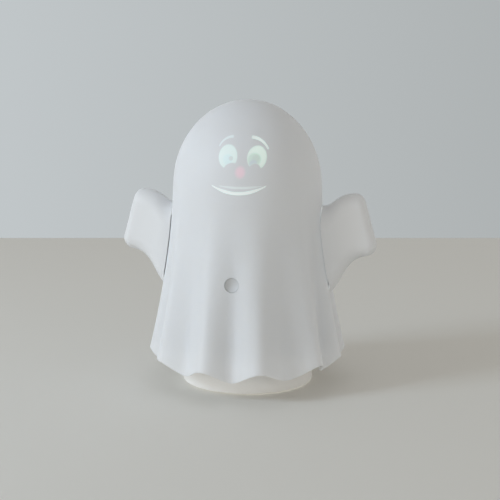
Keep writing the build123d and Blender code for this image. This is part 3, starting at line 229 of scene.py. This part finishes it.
def moulded(slot, colour, roughness, grain_mm, depth_mm, drift):
    """Moulded plastic: fine grain from the mould, and slow drifts of tone and gloss."""
    finish = Finish(slot, colour, roughness)
    slow = finish.noise(DRIFT_SCALE, detail=3.0)
    shade = tuple(value * (1 - drift) for value in colour)
    pale = tuple(min(1.0, value * (1 + drift)) for value in colour)
    finish.set("Base Color", finish.blend(slow, shade, pale))
    grain = finish.noise(MM / grain_mm, detail=3.0)
    smooth, rough = roughness - GRAIN_GLOSS, roughness + GRAIN_GLOSS
    finish.set("Roughness", finish.fade(grain, start=0.25, end=0.75, low=smooth, high=rough))
    finish.bump(grain, depth_mm)
    return finish


def metal(slot, colour, roughness, stretch):
    """Metal with fine lines along one direction."""
    finish = Finish(slot, colour, roughness)
    lines = finish.noise(BRUSH_SCALE, stretch=stretch)
    finish.set("Metallic", 1.0)
    smooth, rough = roughness - BRUSH_GLOSS[0], roughness + BRUSH_GLOSS[1]
    finish.set("Roughness", finish.fade(lines, start=0.3, end=0.7, low=smooth, high=rough))
    finish.bump(lines, depth_mm=0.02)
    return finish


def board():
    """Circuit board with copper tracks under green lacquer."""
    finish = Finish("board_green", (0.02, 0.11, 0.04), 0.35)
    tracks = finish.noise(scale=260.0, detail=0.0, stretch=(1, 6, 1))
    shown = finish.fade(tracks, start=0.48, end=0.56)
    finish.set("Base Color", finish.blend(shown, (0.015, 0.09, 0.035), (0.04, 0.17, 0.07)))
    finish.bump(tracks, depth_mm=0.03)
    return finish


def cell_wrap():
    """Plain film round the cells, scuffed along them."""
    finish = Finish("cell_wrap", (0.16, 0.19, 0.23), 0.3)
    scuffs = finish.noise(scale=400.0, detail=4.0, stretch=(8, 1, 1))
    finish.set("Roughness", finish.fade(scuffs, start=0.35, end=0.75, low=0.22, high=0.45))
    worn = finish.fade(scuffs, start=0.55, end=0.8)
    finish.set("Base Color", finish.blend(worn, (0.15, 0.18, 0.22), (0.22, 0.25, 0.28)))
    return finish


def paper():
    """Speaker paper with fibres."""
    finish = Finish("paper_cone", (0.06, 0.055, 0.05), 0.9)
    fibres = finish.noise(scale=1500.0, detail=4.0, stretch=(1, 1, 4))
    finish.set("Base Color", finish.blend(fibres, (0.04, 0.036, 0.032), (0.09, 0.082, 0.072)))
    finish.bump(fibres, depth_mm=0.06)
    return finish


def lens():
    """Clear moulded lens with a faint haze."""
    finish = Finish("lens_clear", (0.95, 0.97, 0.97), 0.04)
    finish.set("Transmission Weight", 0.9)
    finish.set("IOR", 1.49)
    haze = finish.noise(scale=600.0, detail=3.0)
    finish.set("Roughness", finish.fade(haze, start=0.4, end=0.8, low=0.03, high=0.09))
    return finish


def panel():
    """Dark glass of the picture panel."""
    finish = Finish("panel_glass", (0.10, 0.14, 0.15), 0.1)
    haze = finish.noise(scale=500.0, detail=3.0)
    finish.set("Roughness", finish.fade(haze, start=0.4, end=0.8, low=0.06, high=0.16))
    patches = finish.noise(scale=120.0, detail=1.0)
    finish.set("Base Color", finish.blend(patches, (0.07, 0.10, 0.11), (0.13, 0.18, 0.19)))
    return finish


class Drawing:
    """Shapes drawn with light on the front of the head: millimetres from the face's middle and up."""

    def __init__(self, finish):
        self.finish = finish
        axes = finish.axes("Object")
        self.across = finish.maths("MULTIPLY_ADD", axes["X"], MM, -FACE_MIDDLE)
        self.up = finish.maths("MULTIPLY", axes["Z"], MM)
        self.front = finish.fade(axes["Y"], *FACE_FRONT)
        self.light = (0.0, 0.0, 0.0)

    def squares(self, across, up):
        """Square of a distance, from its two parts."""
        maths = self.finish.maths
        return maths("ADD", maths("MULTIPLY", across, across), maths("MULTIPLY", up, up))

    def oval(self, centre, half):
        """Squared distance from a centre, 1 on the oval."""
        maths = self.finish.maths
        across = maths("DIVIDE", maths("SUBTRACT", self.across, centre[0]), half[0])
        up = maths("DIVIDE", maths("SUBTRACT", self.up, centre[1]), half[1])
        return self.squares(across, up)

    def inside(self, distance, edge):
        """Full where a distance is under 1, with an edge of this softness."""
        return self.finish.fade(distance, 1 + edge, 1 - edge)

    def outside(self, distance, edge):
        """Full where a distance is over 1."""
        return self.finish.fade(distance, 1 - edge, 1 + edge)

    def stroke(self, offset, half_width, edge):
        """Line of a half width around the places where offset is nothing."""
        maths = self.finish.maths
        return self.inside(maths("DIVIDE", maths("ABSOLUTE", offset), half_width), edge)

    def both(self, *masks):
        """Full only where all the masks are."""
        whole = masks[0]
        for mask in masks[1:]:
            whole = self.finish.maths("MULTIPLY", whole, mask)
        return whole

    def paint(self, mask, colour):
        """Puts a colour of light over what is drawn so far."""
        self.light = self.finish.blend(self.both(mask, self.front), self.light, colour)

    def brow(self, centre, radius, start, end, half_width, colour, taper=0.55, edge=0.35, round_off=3.0):
        """Arc between two angles in degrees, thinner towards the second."""
        maths, fade = self.finish.maths, self.finish.fade
        across = maths("SUBTRACT", self.across, centre[0])
        up = maths("SUBTRACT", self.up, centre[1])
        reach = maths("SQRT", self.squares(across, up))
        angle = maths("MULTIPLY", maths("ARCTAN2", up, across), math.degrees(1))
        width = fade(angle, start, end, half_width, half_width * taper)
        line = self.stroke(maths("SUBTRACT", reach, radius), width, edge)
        turn = math.copysign(round_off, end - start)
        begun = fade(angle, start - turn, start + turn)
        ended = fade(angle, end + turn, end - turn)
        self.paint(self.both(line, begun, ended), colour)

    def spot(self, centre, radius, edge, clip, colour):
        """Round spot kept inside a clip."""
        self.paint(self.both(clip, self.inside(self.oval(centre, (radius, radius)), edge)), colour)

    def eye(self, centre, half, cheek, cheek_half, white, edge=0.16, cheek_edge=0.22):
        """Pale oval, cut by the cheek from below; gives back its outline to clip what is in it."""
        oval = self.inside(self.oval(centre, half), edge)
        outline = self.both(oval, self.outside(self.oval(cheek, cheek_half), cheek_edge))
        self.paint(outline, white)
        return outline

    def smile(
        self, middle, curl, reach, half_width, colour, full=0.45, taper=0.4, edge=0.4, round_off=1.0
    ):
        """Line that curls up from its middle and, past its full share, tapers to its ends."""
        maths, fade = self.finish.maths, self.finish.fade
        across = maths("SUBTRACT", self.across, middle[0])
        rise = maths("ADD", maths("MULTIPLY", maths("MULTIPLY", across, across), curl), middle[1])
        out = maths("ABSOLUTE", across)
        width = fade(out, full * reach, reach, half_width, taper * half_width)
        line = self.stroke(maths("SUBTRACT", self.up, rise), width, edge)
        self.paint(self.both(line, fade(out, reach + round_off, reach - round_off)), colour)


def light_sheet(finish):
    """Lets light into the sheet, and draws the face that shines through it from inside."""
    finish.set("Subsurface Weight", SHEET_DEPTH_SHARE)
    finish.set("Subsurface Radius", SHEET_DEPTH_REACH)
    finish.set("Subsurface Scale", SHEET_DEPTH_SCALE)
    face = Drawing(finish)
    face.brow(
        centre=(-8.2, 209.8),
        radius=12.3,
        start=90.0,
        end=159.0,
        half_width=1.05,
        colour=(0.10, 0.15, 0.15),
    )
    face.brow(
        centre=(5.4, 204.8),
        radius=17.0,
        start=84.0,
        end=25.0,
        half_width=1.15,
        colour=(0.22, 0.31, 0.27),
    )
    left = face.eye(
        centre=(-11.5, 206.0),
        half=(7.9, 9.7),
        cheek=(-7.2, 194.2),
        cheek_half=(7.6, 7.0),
        white=(0.12, 0.21, 0.18),
    )
    face.spot(centre=(-11.4, 203.8), radius=4.3, edge=0.5, clip=left, colour=(0.07, 0.17, 0.17))
    face.spot(centre=(-8.7, 204.6), radius=1.9, edge=0.7, clip=left, colour=(0.01, 0.06, 0.04))
    right = face.eye(
        centre=(12.5, 205.2),
        half=(7.7, 9.6),
        cheek=(11.3, 193.8),
        cheek_half=(5.4, 7.0),
        white=(0.17, 0.27, 0.20),
    )
    face.spot(centre=(10.6, 203.6), radius=5.4, edge=0.4, clip=right, colour=(0.04, 0.13, 0.07))
    face.spot(centre=(11.8, 204.4), radius=3.0, edge=0.7, clip=right, colour=(0.01, 0.08, 0.03))
    face.spot(centre=(9.8, 200.4), radius=3.2, edge=0.7, clip=right, colour=(0.0, 0.05, 0.07))
    nose = face.inside(face.oval(centre=(-0.4, 193.4), half=(3.9, 4.6)), edge=0.95)
    face.paint(nose, colour=(0.16, 0.0, 0.04))
    face.smile(middle=(-0.3, 180.6), curl=0.0045, reach=17.5, half_width=0.95, colour=(0.09, 0.12, 0.11))
    face.smile(middle=(-1.9, 175.9), curl=0.0118, reach=22.5, half_width=1.25, colour=(0.22, 0.29, 0.26))
    finish.glow(face.light, strength=1.0)


def paint_light_on_arms(finish):
    """Paints light on the arms' sides that face the body, which lightens the shade in the seam between
    arm and body.
    """
    side = finish.maths("SIGN", finish.axes("Object")["X"])
    outward = finish.maths("MULTIPLY", finish.axes("Normal")["X"], side)
    # painted light: a glow on the faces turned towards the body
    finish.glow(PAINTED_LIGHT_COLOUR, finish.fade(outward, *ARM_ROOT_TURN, high=ARM_PAINTED_LIGHT))


def finishes():
    """One finish for each of the record's material slots."""
    made = [moulded(slot, *recipe) for slot, recipe in MOULDED.items()]
    made += [metal(slot, *recipe) for slot, recipe in METALS.items()]
    made += [board(), cell_wrap(), paper(), lens(), panel()]
    by_slot = {finish.slot: finish for finish in made}
    light_sheet(by_slot["sheet_white"])
    paint_light_on_arms(by_slot["arm_white"])
    # painted light on the acetal pieces, lightening the shade seen through the shoulder slots
    by_slot["acetal"].glow(PAINTED_LIGHT_COLOUR, LEVER_PAINTED_LIGHT)
    # painted light on the base against the shade under the hem
    by_slot["base_white"].glow(BASE_PAINTED_LIGHT_COLOUR, BASE_PAINTED_LIGHT)
    return by_slot


def dress(by_slot):
    """Gives every solid the finish of its slot."""
    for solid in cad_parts.values():
        solid.data.materials[0] = by_slot[solid.data.materials[0].name].material


def table_top():
    """Plain pale table whose back edge stands square to the view; it shows from above only."""
    finish = Finish("table", TABLE_PALE, TABLE_ROUGHNESS)
    finish.set("Base Color", finish.blend(finish.noise(scale=3.0), TABLE_DARK, TABLE_PALE))
    finish.bump(finish.noise(scale=700.0, detail=3.0), depth_mm=0.04)
    below = finish.new("NewGeometry").outputs["Backfacing"]
    near = finish.maths("LESS_THAN", finish.new("LightPath").outputs["Ray Length"], TABLE_CLEAR)
    clear = finish.new("BsdfTransparent").outputs["BSDF"]
    surface = finish.either(finish.maths("MAXIMUM", below, near), finish.shader.outputs["BSDF"], clear)
    finish.feed(finish.nodes["Material Output"].inputs["Surface"], surface)
    mesh = bpy.data.meshes.new("table")
    corners = [
        (-TABLE_SIDE, -TABLE_FRONT, 0),
        (TABLE_SIDE, -TABLE_FRONT, 0),
        (TABLE_SIDE, TABLE_BACK, 0),
        (-TABLE_SIDE, TABLE_BACK, 0),
    ]
    mesh.from_pydata(corners, [], [(0, 1, 2, 3)])
    mesh.materials.append(finish.material)
    table = bpy.data.objects.new("table", mesh)
    table.rotation_euler = Euler((0, 0, VIEW_AZIMUTH))
    bpy.context.scene.collection.objects.link(table)


def sky():
    """Soft light, stronger from the sides than from above; where it is seen it is the pale wall, with
    painted light on its left and painted shade on its right.
    """
    world = bpy.data.worlds.new("studio")
    world.use_nodes = True
    tree = Nodes(world.node_tree)
    direction = tree.new("TexCoord").outputs["Generated"]

    def along(axis, start, end, low, high):
        """Value that goes from low to high as the direction turns along an axis."""
        dot = tree.new("VectorMath", operation="DOT_PRODUCT")
        tree.feed(dot.inputs[0], direction)
        tree.feed(dot.inputs[1], axis)
        return tree.fade(dot.outputs["Value"], start, end, low, high, kind="LINEAR")

    light = tree.nodes["Background"]
    tree.tint(light.inputs["Color"], SKY_COLOUR)
    tree.feed(light.inputs["Strength"], along((0, 0, 1), 0, 1, SKY_HORIZON, SKY_ZENITH))
    wall = tree.new("Background")
    # painted fall of light across the wall, from lit on the left to shaded on the right
    share = along(VIEW_RIGHT, -WALL_SPREAD, WALL_SPREAD, 0, 1)
    tree.feed(wall.inputs["Color"], tree.blend(share, WALL_PAINTED_LIT, WALL_PAINTED_SHADE))
    rays = tree.new("LightPath").outputs
    seen = rays["Is Camera Ray"]
    for ray in ("Is Glossy Ray", "Is Transmission Ray"):
        seen = tree.maths("MAXIMUM", seen, rays[ray])
    shown = tree.either(seen, light.outputs["Background"], wall.outputs["Background"])
    tree.feed(tree.nodes["World Output"].inputs["Surface"], shown)
    bpy.context.scene.world = world


def soft_light(name, azimuth, elevation, distance, size, power, colour):
    """Square lamp that looks at the middle of the ghost."""
    data = bpy.data.lights.new(name, "AREA")
    data.size = size
    data.energy = power
    data.color = colour
    lamp = bpy.data.objects.new(name, data)
    turn, rise = math.radians(azimuth), math.radians(elevation)
    away = Vector((math.cos(rise) * math.sin(turn), -math.cos(rise) * math.cos(turn), math.sin(rise)))
    lamp.location = away * distance + (Vector(cad_box[0]) + Vector(cad_box[1])) / 2
    lamp.rotation_euler = away.to_track_quat("Z", "Y").to_euler()
    bpy.context.scene.collection.objects.link(lamp)


def camera():
    """Camera at the photograph's place, lens and tilt."""
    data = bpy.data.cameras.new("camera")
    data.lens = LENS
    data.sensor_width = SENSOR
    view = bpy.data.objects.new("camera", data)
    back = Vector((math.sin(VIEW_AZIMUTH), -math.cos(VIEW_AZIMUTH), 0))
    view.location = back * VIEW_DISTANCE + VIEW_RIGHT * VIEW_OFFSET + Vector((0, 0, VIEW_HEIGHT))
    view.rotation_euler = Euler((math.pi / 2 - VIEW_PITCH, 0, VIEW_AZIMUTH))
    bpy.context.scene.collection.objects.link(view)
    bpy.context.scene.camera = view


dress(finishes())
table_top()
sky()
soft_light("key", **KEY)
soft_light("fill", **FILL)
camera()
bpy.context.scene.view_settings.view_transform = "Standard"
